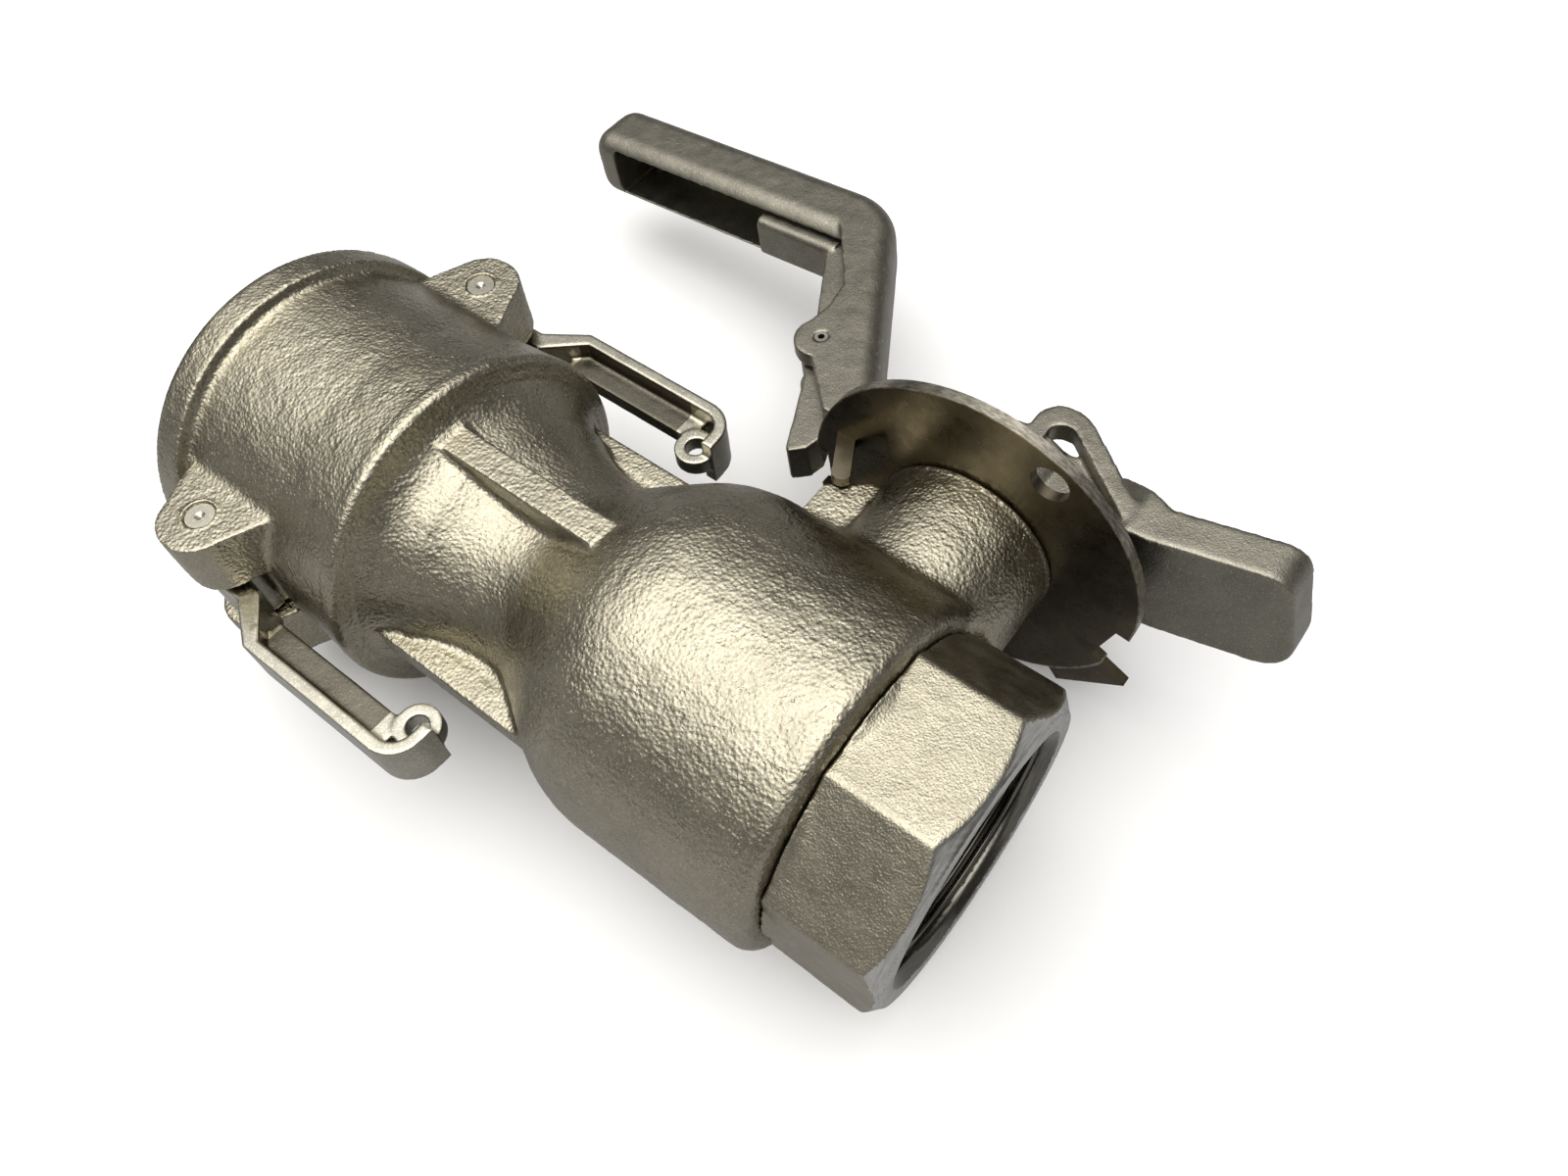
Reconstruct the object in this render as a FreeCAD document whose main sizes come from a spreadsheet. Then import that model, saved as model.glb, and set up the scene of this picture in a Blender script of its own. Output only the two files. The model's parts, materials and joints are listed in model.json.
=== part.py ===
"""Ball valve with a cam-and-groove socket, a threaded end and a locking lever.

Every sub-part is drawn from the centre of the ball: +X runs along the flow axis
to the threaded end, +Y runs along the stem to the lever, +Z is up. The placements
then move the whole valve along X, so that the origin of the shared frame is the
middle of the pipe thread. Millimetres.
"""
import FreeCAD, Part
import math
import os

import Sketcher

# ---------------------------------------------------------------- driving sizes
SIZES = {
    # ball, seats and flow passage
    "port_radius": 24.5,
    "ball_radius": 33.0,
    "ball_clearance": 0.03,
    "slot_floor": 26.8,
    "slot_width": 9.2,
    "seat_radius": 33.5,
    "seat_back": 29.0,
    "seat_lip": 17.0,
    # valve body round the flow axis
    "mouth_x": 170.8,
    "rim_width": 10.0,
    "rim_radius": 49.1,
    "cup_radius": 46.0,
    "cup_end_x": 126.4,
    "shoulder_x": 105.5,
    "shoulder_radius": 47.8,
    "shoulder_bend": 2.0,
    "shoulder_hollow": 13.5,
    "neck_start_x": 92.0,
    "neck_start_radius": 36.0,
    "neck_x": 72.0,
    "neck_radius": 30.2,
    "neck_sweep": 37.0,
    "flare_x": 63.0,
    "flare_radius": 32.7,
    "flare_bend": 17.5,
    "bulge_x": 49.6,
    "bulge_radius": 40.8,
    "bulge_bend": 38.0,
    "chamber_x": 30.0,
    "chamber_outer": 46.3,
    "body_end_x": 19.0,
    "body_end_radius": 45.6,
    "body_end_bend": 4.2,
    "edge_chamfer": 1.5,
    "chamber_radius": 34.0,
    "joint_radius": 37.0,
    "joint_start_x": 13.2,
    # cam-and-groove socket
    "socket_radius": 38.3,
    "socket_step_x": 131.0,
    "socket_mouth_radius": 38.8,
    "gasket_x": 110.0,
    "gasket_width": 6.4,
    "gasket_groove": 39.7,
    "gasket_bore": 30.0,
    # ribs on the neck
    "rib_radius": 39.7,
    "rib_width": 8.0,
    "rib_start_x": 101.0,
    "rib_end_x": 50.0,
    # ears, pins and cam arms
    "pin_x": 144.0,
    "pin_y": 47.2,
    "pin_radius": 4.0,
    "pin_recess": 0.6,
    "ear_radius": 11.0,
    "ear_height": 26.5,
    "ear_root": 34.0,
    "ear_spread": 18.0,
    "ear_slot": 8.5,
    "window_back": 12.0,
    "window_front": 13.0,
    "cam_radius": 8.2,
    "cam_offset": 4.3,
    "cam_half_height": 8.2,
    "arm_outer_y": 62.5,
    "arm_strip": 3.6,
    "arm_half_height": 7.5,
    "arm_bend_x": 120.0,
    "arm_tip_x": 67.5,
    "arm_curl": 9.0,
    "arm_web_depth": 7.0,
    "arm_web_width": 4.6,
    "eye_x": 74.2,
    "eye_y": 51.0,
    "eye_radius": 6.0,
    "eye_hole": 2.8,
    "eye_width": 5.0,
    # end connector
    "octagon_flat": 38.3,
    "collar_rise": 1.6,
    "collar_width": 5.5,
    "collar_bend": 8.0,
    "end_x": 47.7,
    "end_ring_radius": 36.8,
    "end_chamfer_x": 43.7,
    "thread_radius": 30.1,
    "thread_depth": 16.0,
    "countersink_radius": 32.5,
    "spigot_wall": 33.6,
    "spigot_start_x": 14.7,
    "joint_gap": 0.05,
    # stem and its packing
    "boss_radius": 24.4,
    "boss_top": 69.3,
    "boss_step": 0.7,
    "stem_radius": 9.0,
    "stem_gap": 0.05,
    "stem_collar": 12.5,
    "stem_foot": 34.0,
    "collar_top": 38.0,
    "washer_top": 40.0,
    "tang_length": 8.8,
    "tang_half_width": 4.5,
    "tang_depth": 7.0,
    "stem_square": 12.6,
    "stem_top": 92.0,
    "packing_floor": 50.0,
    "packing_radius": 13.5,
    "packing_ring": 2.6,
    "gland_thread": 15.0,
    "gland_floor": 58.0,
    "follower_top": 60.2,
    "spring_height": 1.2,
    "gland_nut_flats": 34.0,
    "gland_nut_top": 77.0,
    # locking plate
    "plate_radius": 47.3,
    "plate_thickness": 3.0,
    "plate_hole_radius": 5.0,
    "plate_hole_circle": 40.0,
    "plate_hole_angle": 63.0,
    "notch_floor": 43.6,
    "notch_half_angle": 9.5,
    "stop_angle": 39.0,
    "stop_half_angle": 12.0,
    "stop_radius": 55.0,
    "hook_width": 3.0,
    "hook_root": 35.2,
    "hook_tip": 29.0,
    "hook_depth": 5.4,
    "hook_gap": 0.3,
    "hook_end": 56.5,
    "lug_half_width": 11.0,
    "lug_end": 35.0,
    "lug_top": 63.5,
    "lug_slope": 7.5,
    # lever
    "lever_droop": 4.7,
    "hub_radius": 17.0,
    "base_y": 78.0,
    "base_top": 90.0,
    "hub_top": 97.0,
    "lever_half_width": 11.4,
    "lever_round": 7.0,
    "base_end": 42.0,
    "grip_inner_y": 138.5,
    "grip_outer_y": 162.0,
    "grip_end": 198.0,
    "grip_corner": 7.5,
    "channel_end": 186.5,
    "grip_wall": 3.4,
    "grip_roof": 4.5,
    "bend_x": 84.0,
    "bend_corner": 23.0,
    "paddle_half_width": 17.2,
    "paddle_length": 81.5,
    "paddle_slant": 8.0,
    "paddle_thickness": 11.7,
    "paddle_root_y": 79.4,
    "paddle_rise": 7.3,
    "paddle_corner": 8.0,
    "neck_half_width": 12.0,
    "neck_end": 26.0,
    "neck_flare_end": 38.0,
    "loop_top": 107.4,
    "loop_left": 0.4,
    "loop_band": 5.3,
    "loop_round": 6.9,
    "loop_bend": 12.0,
    "loop_slope": 39.3,
    "loop_width": 6.0,
    "handle_pin_radius": 2.5,
    "handle_pin_y": 85.0,
    # latch in the lever
    "latch_x": 67.8,
    "latch_y": 100.2,
    "latch_pin_radius": 2.0,
    "latch_pin_bore": 1.0,
    "latch_ear": 8.0,
    "latch_boss": 6.6,
    "latch_half_width": 6.0,
    "latch_gap": 0.5,
    "tab_half_width": 6.8,
    "tab_end": 121.0,
    "tab_y": 135.8,
    "tab_thickness": 5.4,
    "tab_round": 2.2,
    "spring_wire": 0.45,
    "spring_radius": 3.0,
    "spring_recess": 2.4,
    "spring_leg": 11.0,
    "spring_turn": 31.0,
}


class Size:
    """A length with its value in millimetres and the expression that gives it."""

    def __init__(self, value, text):
        self.value = float(value)
        self.text = text

    @staticmethod
    def of(item):
        if isinstance(item, Size):
            return item
        return Size(item, repr(float(item)))

    def _join(self, other, sign, value):
        return Size(value, "(%s %s %s)" % (self.text, sign, other.text))

    def __add__(self, other):
        other = Size.of(other)
        return self._join(other, "+", self.value + other.value)

    def __radd__(self, other):
        return Size.of(other) + self

    def __sub__(self, other):
        other = Size.of(other)
        return self._join(other, "-", self.value - other.value)

    def __rsub__(self, other):
        return Size.of(other) - self

    def __mul__(self, other):
        other = Size.of(other)
        return self._join(other, "*", self.value * other.value)

    def __rmul__(self, other):
        return Size.of(other) * self

    def __truediv__(self, other):
        other = Size.of(other)
        return self._join(other, "/", self.value / other.value)

    def __neg__(self):
        return Size(-self.value, "(0 - %s)" % self.text)


def leg(long_side, short_side):
    """The other leg of a right triangle: sqrt(long_side^2 - short_side^2)."""
    value = math.sqrt(long_side.value ** 2 - short_side.value ** 2)
    return Size(value, "sqrt(%s ^ 2 - %s ^ 2)" % (long_side.text, short_side.text))


def turned(radius, degrees):
    """The point at a radius and an angle from the first axis, as two sizes."""
    radius = Size.of(radius)
    degrees = Size.of(degrees)
    angle = math.radians(degrees.value)
    across = Size(radius.value * math.cos(angle), "(%s * cos(%s * 1 deg))" % (radius.text, degrees.text))
    along = Size(radius.value * math.sin(angle), "(%s * sin(%s * 1 deg))" % (radius.text, degrees.text))
    return across, along


class Sizes:
    """Reads each driving size from the sheet by its alias."""

    def __init__(self, sheet, table):
        for row, (alias, value) in enumerate(table.items(), start=1):
            sheet.set("A%d" % row, alias)
            sheet.set("B%d" % row, str(value))
            sheet.setAlias("B%d" % row, alias)
            setattr(self, alias, Size(value, "%s.%s" % (sheet.Name, alias)))


doc = FreeCAD.newDocument("ball_valve")
sheet = doc.addObject("Spreadsheet::Sheet", "sizes")
D = Sizes(sheet, SIZES)
doc.recompute()

SUB_PARTS = []
THREAD_LENGTH = D.thread_depth - (D.countersink_radius - D.thread_radius)
FRAME_X = D.end_x - D.thread_depth + THREAD_LENGTH / 2


# ------------------------------------------------------------- building helpers
def new_body(label):
    """An empty body that is one sub-part of the valve."""
    body = doc.addObject("PartDesign::Body", label)
    body.Label = label
    SUB_PARTS.append(body)
    place(body)
    return body


def place(part, x=0, y=0, z=0, droop=0.0, roll=0.0):
    """Put a sub-part in the shared frame: rolled, turned about the stem axis, moved."""
    spot = [Size.of(x) - FRAME_X, Size.of(y), Size.of(z)]
    roll_turn = FreeCAD.Rotation(FreeCAD.Vector(0, 0, 1), roll)
    droop_turn = FreeCAD.Rotation(FreeCAD.Vector(0, 1, 0), -droop)
    part.Placement = FreeCAD.Placement(
        FreeCAD.Vector(*[size.value for size in spot]), droop_turn.multiply(roll_turn))
    for axis, size in zip("xyz", spot):
        part.setExpression("Placement.Base." + axis, size.text)


def plane_of(body, role):
    return next(item for item in body.Origin.OriginFeatures if item.Role == role)


def new_sketch(body, role, offset=None):
    """A sketch on one of the body's origin planes, moved along its normal."""
    sketch = body.newObject("Sketcher::SketchObject", "outline")
    sketch.AttachmentSupport = [(plane_of(body, role), "")]
    sketch.MapMode = "FlatFace"
    if offset is not None:
        sketch.AttachmentOffset = FreeCAD.Placement(
            FreeCAD.Vector(0, 0, offset.value), FreeCAD.Rotation())
        sketch.setExpression("AttachmentOffset.Base.z", offset.text)
    return sketch


def hold(sketch, kind, geometry, point, size):
    """Fix one coordinate of a sketch point to a size."""
    size = Size.of(size)
    if abs(size.value) < 1e-9:
        axis = -2 if kind == "DistanceX" else -1
        sketch.addConstraint(Sketcher.Constraint("PointOnObject", geometry, point, axis))
        return
    index = sketch.addConstraint(
        Sketcher.Constraint(kind, -1, 1, geometry, point, size.value))
    sketch.setExpression("Constraints[%d]" % index, size.text)


def arc_between(start, end, radius, bulge):
    """An arc from start to end; bulge +1 turns left on the way, -1 turns right."""
    chord = end - start
    half = chord.Length / 2
    height = math.sqrt(max(radius ** 2 - half ** 2, 0.0))
    side = FreeCAD.Vector(-chord.y, chord.x, 0).normalize() * height * bulge
    centre = (start + end) / 2 + side
    if bulge > 0:
        first, last = start, end
    else:
        first, last = end, start
    angles = [math.atan2(p.y - centre.y, p.x - centre.x) for p in (first, last)]
    circle = Part.Circle(centre, FreeCAD.Vector(0, 0, 1), radius)
    return Part.ArcOfCircle(circle, angles[0], angles[1])


def outline(body, role, points, offset=None):
    """A closed outline through (u, v) points.

    A point (u, v, radius) is reached by an arc: a positive radius turns left
    on the way to it, a negative one turns right.
    """
    sketch = new_sketch(body, role, offset)
    places = [FreeCAD.Vector(Size.of(p[0]).value, Size.of(p[1]).value, 0) for p in points]
    joints = []
    for i, point in enumerate(points):
        start = places[i - 1]
        end = places[i]
        if len(point) == 3:
            radius = Size.of(point[2])
            bulge = 1 if radius.value > 0 else -1
            arc = arc_between(start, end, abs(radius.value), bulge)
            index = sketch.addGeometry(arc, False)
            constraint = sketch.addConstraint(
                Sketcher.Constraint("Radius", index, abs(radius.value)))
            text = radius.text if bulge > 0 else "(0 - %s)" % radius.text
            sketch.setExpression("Constraints[%d]" % constraint, text)
            joints.append((index, 1, 2) if bulge > 0 else (index, 2, 1))
        else:
            index = sketch.addGeometry(Part.LineSegment(start, end), False)
            joints.append((index, 1, 2))
    for i, (index, _, finish) in enumerate(joints):
        follower = joints[(i + 1) % len(joints)]
        sketch.addConstraint(
            Sketcher.Constraint("Coincident", index, finish, follower[0], follower[1]))
        hold(sketch, "DistanceX", index, finish, points[i][0])
        hold(sketch, "DistanceY", index, finish, points[i][1])
    return sketch


def circles(body, role, rings, offset=None):
    """A sketch of circles, each (u, v, radius)."""
    sketch = new_sketch(body, role, offset)
    for u, v, radius in rings:
        u, v, radius = Size.of(u), Size.of(v), Size.of(radius)
        centre = FreeCAD.Vector(u.value, v.value, 0)
        circle = Part.Circle(centre, FreeCAD.Vector(0, 0, 1), radius.value)
        index = sketch.addGeometry(circle, False)
        constraint = sketch.addConstraint(Sketcher.Constraint("Radius", index, radius.value))
        sketch.setExpression("Constraints[%d]" % constraint, radius.text)
        hold(sketch, "DistanceX", index, 3, u)
        hold(sketch, "DistanceY", index, 3, v)
    return sketch


def rectangle(left, bottom, right, top):
    return [(left, bottom), (right, bottom), (right, top), (left, top)]


def extrude(body, kind, sketch, length, both=False, backwards=False):
    """A Pad or a Pocket of the sketch."""
    feature = body.newObject("PartDesign::" + kind, kind.lower())
    feature.Profile = sketch
    length = Size.of(length)
    if both:
        length = 2 * length
        feature.Midplane = True
    feature.Length = length.value
    feature.setExpression("Length", length.text)
    feature.Reversed = backwards
    sketch.Visibility = False
    return feature


def pad(body, sketch, length, both=False, backwards=False):
    return extrude(body, "Pad", sketch, length, both, backwards)


def pocket(body, sketch, length, both=False, backwards=False):
    return extrude(body, "Pocket", sketch, length, both, backwards)


def turn(body, kind, sketch, axis):
    """A full Revolution or Groove round the sketch's H_Axis or V_Axis."""
    feature = body.newObject("PartDesign::" + kind, kind.lower())
    feature.Profile = sketch
    feature.ReferenceAxis = (sketch, [axis])
    feature.Angle = 360.0
    return feature


def turned_ring(label, points, axis="V_Axis"):
    """A sub-part that is one outline turned round an axis."""
    body = new_body(label)
    turn(body, "Revolution", outline(body, "XY_Plane", points), axis)
    return body


def mirrored(body, feature, role):
    """Repeat one feature on the other side of an origin plane."""
    mirror = body.newObject("PartDesign::Mirrored", "mirror")
    mirror.Originals = [feature]
    mirror.MirrorPlane = (plane_of(body, role), [""])
    body.Tip = mirror
    return mirror


def round_edges(body, feature, radius, wanted):
    """Fillet the edges whose middle point passes the test."""
    doc.recompute()
    names = []
    for number, edge in enumerate(feature.Shape.Edges, start=1):
        middle = edge.valueAt((edge.FirstParameter + edge.LastParameter) / 2)
        if wanted(edge, middle):
            names.append("Edge%d" % number)
    fillet = body.newObject("PartDesign::Fillet", "rounding")
    fillet.Base = (feature, names)
    radius = Size.of(radius)
    fillet.Radius = radius.value
    fillet.setExpression("Radius", radius.text)
    return fillet


def lean(body):
    """Turn a lever piece about the stem axis, from level to its resting droop."""
    place(body, droop=D.lever_droop.value)


# ------------------------------------------------------------------- valve body
def make_valve_body():
    """The casting: socket cup, ribbed neck, ball chamber, stem boss, ears and lug."""
    body = new_body("valve_body")
    outer = [
        (-D.mouth_x, 0),
        (-D.mouth_x, D.rim_radius - D.edge_chamfer),
        (-D.mouth_x + D.edge_chamfer, D.rim_radius),
        (-D.mouth_x + D.rim_width, D.rim_radius),
        (-D.mouth_x + D.rim_width, D.cup_radius),
        (-D.cup_end_x, D.cup_radius),
        (-D.shoulder_x, D.shoulder_radius),
        (-D.shoulder_x + D.shoulder_bend, D.shoulder_radius - D.shoulder_bend,
         -D.shoulder_bend * 1.05),
        (-D.neck_start_x, D.neck_start_radius, D.shoulder_hollow),
        (-D.neck_x, D.neck_radius, D.neck_sweep),
        (-D.flare_x, D.flare_radius, D.flare_bend),
        (-D.bulge_x, D.bulge_radius),
        (-D.chamber_x, D.chamber_outer, -D.bulge_bend),
        (D.body_end_x - D.body_end_bend, D.body_end_radius),
        (D.body_end_x, D.body_end_radius - D.body_end_bend, -D.body_end_bend * 1.05),
        (D.body_end_x, 0),
    ]
    turn(body, "Revolution", outline(body, "XY_Plane", outer), "H_Axis")
    add_ribs(body)
    add_ears(body)
    add_stem_boss(body)
    cut_flow_passage(body)
    cut_stem_bore(body)
    return body


def add_ribs(body):
    """Four flat-topped ribs along the neck, a quarter turn apart."""
    rib = [
        (-D.rib_start_x, D.port_radius + 2),
        (-D.rib_end_x, D.port_radius + 2),
        (-D.rib_end_x, D.rib_radius),
        (-D.rib_start_x, D.rib_radius),
    ]
    feature = pad(body, outline(body, "XY_Plane", rib), D.rib_width / 2, both=True)
    pattern = body.newObject("PartDesign::PolarPattern", "ribs")
    pattern.Originals = [feature]
    pattern.Axis = (plane_of(body, "X_Axis"), [""])
    pattern.Angle = 360
    pattern.Occurrences = 4
    body.Tip = pattern


def add_ears(body):
    """Two forked ears that hold the cam pins, each with a window into the socket."""
    across, along = turned(D.ear_radius, 12)
    ear = [
        (-D.pin_x - D.ear_spread, D.ear_root),
        (-D.pin_x + D.ear_spread, D.ear_root),
        (-D.pin_x + across, D.pin_y + along),
        (-D.pin_x - across, D.pin_y + along, D.ear_radius),
    ]
    lobe = pad(body, outline(body, "XY_Plane", ear), D.ear_height, both=True)
    mirrored(body, lobe, "XZ_Plane")
    window = rectangle(-D.pin_x - D.window_back, D.gasket_bore,
                       -D.pin_x + D.window_front, D.pin_y + 2 * D.ear_radius)
    slot = pocket(body, outline(body, "XY_Plane", window), D.ear_slot, both=True)
    mirrored(body, slot, "XZ_Plane")
    hole_sketch = circles(body, "XY_Plane", [
        (-D.pin_x, D.pin_y, D.pin_radius), (-D.pin_x, -D.pin_y, D.pin_radius)])
    pocket(body, hole_sketch, D.ear_height + 1, both=True)


def add_stem_boss(body):
    """The round boss with a stepped top, and the lug the plate's hooks straddle."""
    boss = [
        (0, D.chamber_radius),
        (D.boss_radius, D.chamber_radius),
        (D.boss_radius, D.boss_top - D.boss_step),
        (D.boss_radius - D.boss_step, D.boss_top - D.boss_step),
        (D.boss_radius - D.boss_step, D.boss_top),
        (0, D.boss_top),
    ]
    turn(body, "Revolution", outline(body, "XY_Plane", boss), "V_Axis")
    lug = [
        (-D.lug_end, D.chamber_radius),
        (-D.boss_radius + 4, D.chamber_radius),
        (-D.boss_radius + 4, D.lug_top),
        (-D.boss_radius, D.lug_top),
        (-D.lug_end, D.lug_top - D.lug_slope),
    ]
    pad(body, outline(body, "XY_Plane", lug), D.lug_half_width, both=True)


def cut_flow_passage(body):
    """Ball chamber, port and socket, turned round the flow axis."""
    chamber = [
        (D.end_x, 0),
        (D.end_x, D.octagon_flat + 4.2),
        (D.body_end_x, D.octagon_flat + 4.2),
        (D.body_end_x, D.joint_radius),
        (D.joint_start_x, D.joint_radius),
        (D.joint_start_x, D.chamber_radius),
        (-D.seat_back, D.chamber_radius),
        (-D.seat_back, D.port_radius),
        (-D.gasket_x, D.port_radius),
        (-D.gasket_x, D.gasket_groove),
        (-D.gasket_x - D.gasket_width, D.gasket_groove),
        (-D.gasket_x - D.gasket_width, D.socket_radius),
        (-D.socket_step_x, D.socket_radius),
        (-D.socket_step_x - D.edge_chamfer, D.socket_mouth_radius),
        (-D.mouth_x + D.edge_chamfer, D.socket_mouth_radius),
        (-D.mouth_x, D.socket_mouth_radius + D.edge_chamfer),
        (-D.mouth_x, 0),
    ]
    turn(body, "Groove", outline(body, "XY_Plane", chamber), "H_Axis")


def cut_stem_bore(body):
    """Stepped bore for the stem, its collar, the packing and the gland nut."""
    bore = [
        (0, D.port_radius),
        (D.stem_collar + 0.3, D.port_radius),
        (D.stem_collar + 0.3, D.washer_top),
        (D.stem_radius + D.stem_gap, D.washer_top),
        (D.stem_radius + D.stem_gap, D.packing_floor),
        (D.packing_radius, D.packing_floor),
        (D.packing_radius, D.gland_floor),
        (D.gland_thread, D.gland_floor),
        (D.gland_thread, D.boss_top),
        (0, D.boss_top),
    ]
    turn(body, "Groove", outline(body, "XY_Plane", bore), "V_Axis")


# --------------------------------------------------------- flow-axis inner parts
def make_ball():
    """A bored ball with a slot across its top for the stem's tang."""
    body = new_body("ball")
    end = leg(D.ball_radius, D.port_radius)
    shell = [(end, D.port_radius), (-end, D.port_radius, D.ball_radius)]
    turn(body, "Revolution", outline(body, "XY_Plane", shell), "H_Axis")
    slot = rectangle(D.slot_floor, -D.slot_width / 2, D.ball_radius + 1, D.slot_width / 2)
    pocket(body, outline(body, "YZ_Plane", slot), D.ball_radius, both=True)


def make_seats():
    """The two seat rings, each hollowed to the ball and clear of it."""
    touch = D.ball_radius + D.ball_clearance
    for label, way in (("seat_rear", -1), ("seat_front", 1)):
        points = [
            (way * D.seat_back, D.port_radius),
            (way * D.seat_back, D.seat_radius),
            (way * D.seat_lip, D.seat_radius),
            (way * D.seat_lip, leg(touch, D.seat_lip)),
            (way * leg(touch, D.port_radius), D.port_radius, -way * touch),
        ]
        turned_ring(label, points, "H_Axis")


def make_flow_seals():
    """The seal under the end connector's spigot and the gasket in the socket."""
    turned_ring("body_seal", rectangle(
        D.joint_start_x, D.chamber_radius,
        D.spigot_start_x, D.joint_radius - D.joint_gap), "H_Axis")
    turned_ring("coupler_gasket", rectangle(
        -D.gasket_x - D.gasket_width + D.joint_gap, D.gasket_bore,
        -D.gasket_x, D.gasket_groove - D.joint_gap), "H_Axis")


def make_end_connector():
    """The octagonal end piece: spigot, flats, end chamfer, pipe thread bore."""
    body = new_body("end_connector")
    start = D.body_end_x + D.joint_gap
    spigot = rectangle(D.spigot_start_x, D.port_radius, D.body_end_x + 2,
                       D.joint_radius - D.joint_gap)
    turn(body, "Revolution", outline(body, "XY_Plane", spigot), "H_Axis")
    corner = D.octagon_flat / math.cos(math.radians(22.5))
    octagon = [turned(corner, 22.5 + 45 * step) for step in range(8)]
    pad(body, outline(body, "YZ_Plane", octagon, start), D.end_x - start)
    collar = [
        (start, D.joint_radius - 1),
        (start + D.collar_width, D.joint_radius - 1),
        (start + D.collar_width, D.octagon_flat),
        (start, D.octagon_flat + D.collar_rise, -D.collar_bend),
    ]
    turn(body, "Revolution", outline(body, "XY_Plane", collar), "H_Axis")
    chamfer = [
        (D.end_chamfer_x, corner + 0.1),
        (D.end_x + 0.01, D.end_ring_radius),
        (D.end_x + 0.01, corner + 0.1),
    ]
    turn(body, "Groove", outline(body, "XY_Plane", chamfer), "H_Axis")
    passage = [
        (D.spigot_start_x - 1, 0),
        (D.end_x + 1, 0),
        (D.end_x + 1, D.countersink_radius),
        (D.end_x, D.countersink_radius),
        (D.end_x + D.thread_radius - D.countersink_radius, D.thread_radius),
        (D.end_x - D.thread_depth, D.thread_radius),
        (D.end_x - D.thread_depth, D.port_radius),
        (D.seat_back, D.port_radius),
        (D.seat_back, D.spigot_wall),
        (D.spigot_start_x - 1, D.spigot_wall),
    ]
    turn(body, "Groove", outline(body, "XY_Plane", passage), "H_Axis")


# ------------------------------------------------------------- stem and packing
def make_stem():
    """The stem: tang, collar, shaft and the square that drives the lever."""
    body = new_body("stem")
    shaft = [
        (0, D.stem_foot),
        (D.stem_collar, D.stem_foot),
        (D.stem_collar, D.collar_top),
        (D.stem_radius, D.collar_top),
        (D.stem_radius, D.base_y),
        (0, D.base_y),
    ]
    turn(body, "Revolution", outline(body, "XY_Plane", shaft), "V_Axis")
    reach = math.hypot(D.tang_length.value, D.tang_half_width.value)
    corner = math.degrees(math.atan2(D.tang_half_width.value, D.tang_length.value))
    tang = [turned(reach, angle - D.lever_droop)
            for angle in (corner, 180 - corner, 180 + corner, 360 - corner)]
    foot = outline(body, "XZ_Plane", tang, -D.stem_foot)
    pad(body, foot, D.tang_depth)
    side = D.stem_square / 2
    top = outline(body, "XZ_Plane", rectangle(-side, -side, side, side), 1 - D.base_y)
    pad(body, top, D.stem_top - D.base_y + 1, backwards=True)
    pin = circles(body, "XY_Plane", [(0, D.handle_pin_y, D.handle_pin_radius)])
    pocket(body, pin, D.hub_radius, both=True)
    lean(body)


def make_stem_seals():
    """Thrust washer, packing rings, follower and cone springs round the stem."""
    inner = D.stem_radius + D.stem_gap
    turned_ring("thrust_washer", rectangle(
        inner, D.collar_top, D.stem_collar - 0.1, D.washer_top))
    packing = new_body("stem_packing")
    ring = rectangle(inner, D.packing_floor, D.packing_radius - D.joint_gap,
                     D.packing_floor + D.packing_ring - 0.2)
    first = turn(packing, "Revolution", outline(packing, "XY_Plane", ring), "V_Axis")
    stack(packing, first, D.packing_ring, 3)
    turned_ring("gland_follower", rectangle(
        inner, D.packing_floor + 3 * D.packing_ring, D.packing_radius - 0.1, D.follower_top))
    springs = new_body("disc_springs")
    cone = [
        (inner + 0.2, D.follower_top + 0.5),
        (D.gland_thread - 0.6, D.follower_top),
        (D.gland_thread - 0.6, D.follower_top + 0.6),
        (inner + 0.2, D.follower_top + 1.1),
    ]
    first = turn(springs, "Revolution", outline(springs, "XY_Plane", cone), "V_Axis")
    stack(springs, first, D.spring_height, 2)


def stack(body, feature, pitch, count):
    """Repeat a ring along the stem axis."""
    pattern = body.newObject("PartDesign::LinearPattern", "stack")
    pattern.Originals = [feature]
    pattern.Direction = (plane_of(body, "Y_Axis"), [""])
    span = pitch * (count - 1)
    pattern.Length = span.value
    pattern.setExpression("Length", span.text)
    pattern.Occurrences = count
    body.Tip = pattern


def make_gland_nut():
    """The hexagon gland nut that clamps the plate and loads the packing."""
    body = new_body("gland_nut")
    foot = D.follower_top + 2 * D.spring_height + 0.1
    plate_top = D.boss_top + D.plate_thickness
    shank = rectangle(D.stem_radius + 0.4, foot, D.gland_thread - D.joint_gap, plate_top + 1)
    turn(body, "Revolution", outline(body, "XY_Plane", shank), "V_Axis")
    corner = D.gland_nut_flats / 2 / math.cos(math.radians(30))
    hexagon = [turned(corner, 60 * step) for step in range(6)]
    head = outline(body, "XZ_Plane", hexagon, -plate_top)
    pad(body, head, D.gland_nut_top - plate_top, backwards=True)
    bore = circles(body, "XZ_Plane", [(0, 0, D.stem_radius + 0.4)], -D.gland_nut_top)
    pocket(body, bore, D.gland_nut_top - foot, backwards=True)


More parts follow.
